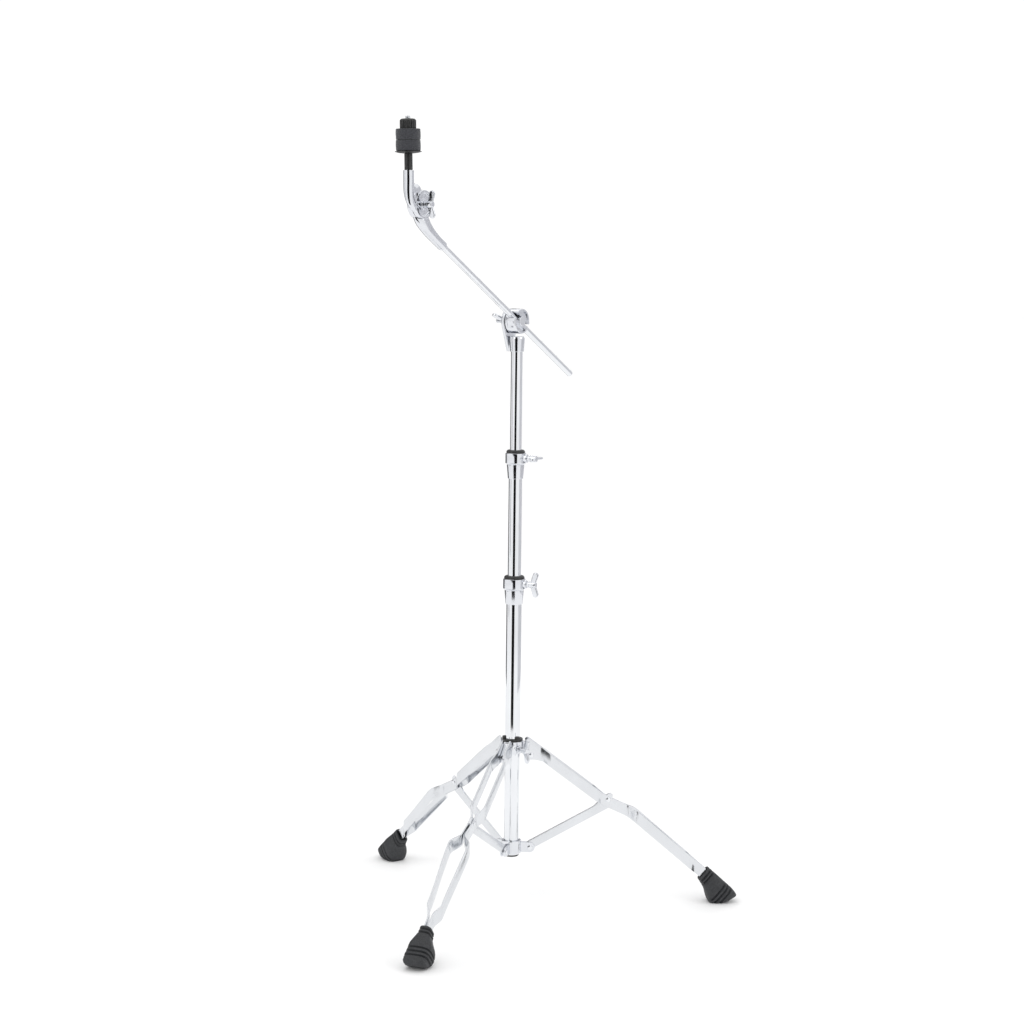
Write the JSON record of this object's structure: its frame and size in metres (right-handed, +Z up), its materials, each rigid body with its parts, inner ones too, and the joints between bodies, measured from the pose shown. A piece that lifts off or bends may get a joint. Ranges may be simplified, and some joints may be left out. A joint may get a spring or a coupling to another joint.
{
  "type": "cymbal boom stand",
  "caption": "Folding tripod stand with telescoping tubes, clamp locks, a tilting boom arm and a felted cymbal tilter.",
  "frame": {"origin": "middle of the bounding box on the floor under the three rubber feet", "axes": "+Z up along the column; the boom lies in a plane of constant Y with its cymbal end towards -X"},
  "size_m": [0.6514, 0.666, 1.305],
  "materials": {
    "chrome_tube": "polished plate on drawn steel tube and turned steel",
    "chrome_strip": "polished plate on flat steel strip",
    "chrome_cast": "polished plate on die castings",
    "black_nylon": "moulded nylon",
    "black_rubber": "moulded rubber, matte",
    "black_plastic": "moulded plastic, satin",
    "grey_felt": "pressed wool felt"
  },
  "bodies": {
    "column": {"lower_tube": "chrome_tube", "lower_lock_collar": "chrome_cast", "lower_lock_bush": "black_nylon", "brace_bracket": "chrome_cast", "bottom_plug": "black_nylon", "bracket_rivet_1": "chrome_tube", "bracket_rivet_2": "chrome_tube", "bracket_rivet_3": "chrome_tube"},
    "lower_lock_bolt": {"lower_lock_wing_bolt": "chrome_cast"},
    "brace_1": {"brace_1": "chrome_strip"},
    "leg_1": {"leg_1_left_strip": "chrome_strip", "leg_1_right_strip": "chrome_strip", "foot_1": "black_rubber", "knee_rivet_1": "chrome_tube", "foot_rivet_1": "chrome_tube"},
    "brace_2": {"brace_2": "chrome_strip"},
    "leg_2": {"leg_2_left_strip": "chrome_strip", "leg_2_right_strip": "chrome_strip", "foot_2": "black_rubber", "knee_rivet_2": "chrome_tube", "foot_rivet_2": "chrome_tube"},
    "brace_3": {"brace_3": "chrome_strip"},
    "leg_3": {"leg_3_left_strip": "chrome_strip", "leg_3_right_strip": "chrome_strip", "foot_3": "black_rubber", "knee_rivet_3": "chrome_tube", "foot_rivet_3": "chrome_tube"},
    "hub": {"leg_hub": "chrome_cast", "hub_bush": "black_nylon", "hub_rivet_1": "chrome_tube", "hub_rivet_2": "chrome_tube", "hub_rivet_3": "chrome_tube", "hub_set_screw": "chrome_tube"},
    "hub_bolt": {"hub_wing_bolt": "chrome_cast"},
    "mid_guide": {"mid_tube_guide": "black_nylon"},
    "mid_section": {"mid_tube": "chrome_tube", "upper_lock_collar": "chrome_cast", "upper_lock_bush": "black_nylon"},
    "upper_lock_bolt": {"upper_lock_wing_bolt": "chrome_cast"},
    "upper_guide": {"upper_tube_guide": "black_nylon"},
    "upper_section": {"upper_tube": "chrome_tube", "boom_tilter_base": "chrome_cast", "tilter_friction_washer": "black_nylon"},
    "holder": {"boom_holder": "chrome_cast", "boom_eye_bolt": "chrome_tube"},
    "holder_nut": {"tilter_wing_nut": "chrome_cast"},
    "arm": {"boom_arm": "chrome_tube", "tilter_lower_casting": "chrome_cast", "socket_roll_pin": "chrome_tube", "cymbal_tilter_nut": "chrome_tube"},
    "cymbal_tilter": {"tilter_upper_casting": "chrome_cast", "stem_roll_pin": "chrome_tube", "cymbal_rod": "chrome_tube", "cymbal_sleeve": "black_plastic", "cup_washer": "black_plastic"},
    "tilter_bolt": {"cymbal_wing_bolt": "chrome_cast"},
    "lower_felt_ring": {"lower_felt": "grey_felt"},
    "upper_felt_ring": {"upper_felt": "grey_felt"},
    "cap_knob": {"cymbal_cap": "black_plastic"}
  },
  "joints": [
    {"name": "leg_fold", "type": "hinge", "parent": "column", "child": "brace_1", "pos_m": [0.07581, -0.06283, 0.102], "axis": [-0.7361, -0.6769, 0], "range_deg": [-8, 50]},
    {"name": "leg_1_knee", "type": "hinge", "parent": "brace_1", "child": "leg_1", "pos_m": [0.16584, -0.16073, 0.182], "axis": [-0.7361, -0.6769, 0], "range_deg": [-100, 16]},
    {"name": "brace_2_pivot", "type": "hinge", "parent": "column", "child": "brace_2", "pos_m": [0.0641, -0.01043, 0.102], "axis": [0.9542, -0.299, 0], "range_deg": [-8, 50]},
    {"name": "leg_2_knee", "type": "hinge", "parent": "brace_2", "child": "leg_2", "pos_m": [0.10387, 0.11649, 0.182], "axis": [0.9542, -0.299, 0], "range_deg": [-100, 16]},
    {"name": "brace_3_pivot", "type": "hinge", "parent": "column", "child": "brace_3", "pos_m": [0.02457, -0.04677, 0.102], "axis": [-0.2181, 0.9759, 0], "range_deg": [-8, 50]},
    {"name": "leg_3_knee", "type": "hinge", "parent": "brace_3", "child": "leg_3", "pos_m": [-0.10522, -0.07578, 0.182], "axis": [-0.2181, 0.9759, 0], "range_deg": [-100, 16]},
    {"name": "hub_slide_pivot", "type": "hinge", "parent": "leg_1", "child": "hub", "pos_m": [0.07581, -0.06283, 0.262], "axis": [-0.7361, -0.6769, 0], "range_deg": [-8, 50]},
    {"name": "hub_bolt_turn", "type": "hinge", "parent": "hub", "child": "hub_bolt", "pos_m": [0.05483, -0.04001, 0.2744], "axis": [-0.299, -0.9542, 0], "continuous": true},
    {"name": "lower_lock_bolt_turn", "type": "hinge", "parent": "column", "child": "lower_lock_bolt", "pos_m": [0.05483, -0.04001, 0.5519], "axis": [0.2419, -0.9703, 0], "continuous": true},
    {"name": "mid_section_slide", "type": "slide", "parent": "column", "child": "mid_guide", "axis": [0, 0, 1], "range_m": [-0.16, 0.15]},
    {"name": "mid_section_swivel", "type": "hinge", "parent": "mid_guide", "child": "mid_section", "pos_m": [0.05483, -0.04001, 0.33], "axis": [0, 0, 1], "continuous": true},
    {"name": "upper_lock_bolt_turn", "type": "hinge", "parent": "mid_section", "child": "upper_lock_bolt", "pos_m": [0.05483, -0.04001, 0.7619], "axis": [0.2419, -0.9703, 0], "continuous": true},
    {"name": "upper_section_slide", "type": "slide", "parent": "mid_section", "child": "upper_guide", "axis": [0, 0, 1], "range_m": [-0.16, 0.15]},
    {"name": "upper_section_swivel", "type": "hinge", "parent": "upper_guide", "child": "upper_section", "pos_m": [0.05483, -0.04001, 0.54], "axis": [0, 0, 1], "continuous": true},
    {"name": "boom_tilt", "type": "hinge", "parent": "upper_section", "child": "holder", "pos_m": [0.05483, -0.04001, 0.988], "axis": [0, 1, 0], "range_deg": [-85, 24]},
    {"name": "holder_nut_turn", "type": "hinge", "parent": "holder", "child": "holder_nut", "pos_m": [0.05483, -0.04001, 0.988], "axis": [0, 1, 0], "continuous": true},
    {"name": "boom_slide", "type": "slide", "parent": "holder", "child": "arm", "axis": [0.8604, 0, -0.5096], "range_m": [-0.15, 0.195]},
    {"name": "cymbal_tilt", "type": "hinge", "parent": "arm", "child": "cymbal_tilter", "pos_m": [-0.20492, -0.04001, 1.1715], "axis": [0, 1, 0], "range_deg": [-36, 70]},
    {"name": "tilter_bolt_turn", "type": "hinge", "parent": "cymbal_tilter", "child": "tilter_bolt", "pos_m": [-0.20492, -0.04001, 1.1715], "axis": [0, -1, 0], "continuous": true},
    {"name": "lower_felt_lift", "type": "slide", "parent": "cymbal_tilter", "child": "lower_felt_ring", "axis": [-0.0314, 0, 0.9995], "range_m": [0, 0.006]},
    {"name": "upper_felt_lift", "type": "slide", "parent": "lower_felt_ring", "child": "upper_felt_ring", "axis": [-0.0314, 0, 0.9995], "range_m": [0, 0.013]},
    {"name": "cap_turn", "type": "hinge", "parent": "upper_felt_ring", "child": "cap_knob", "pos_m": [-0.23291, -0.04001, 1.17062], "axis": [-0.0314, 0, 0.9995], "continuous": true}
  ],
  "couplings": [
    {"joint": "leg_1_knee", "follows": "leg_fold", "ratio": -2},
    {"joint": "brace_2_pivot", "follows": "leg_fold", "ratio": 1},
    {"joint": "leg_2_knee", "follows": "leg_fold", "ratio": -2},
    {"joint": "brace_3_pivot", "follows": "leg_fold", "ratio": 1},
    {"joint": "leg_3_knee", "follows": "leg_fold", "ratio": -2},
    {"joint": "hub_slide_pivot", "follows": "leg_fold", "ratio": 1}
  ]
}
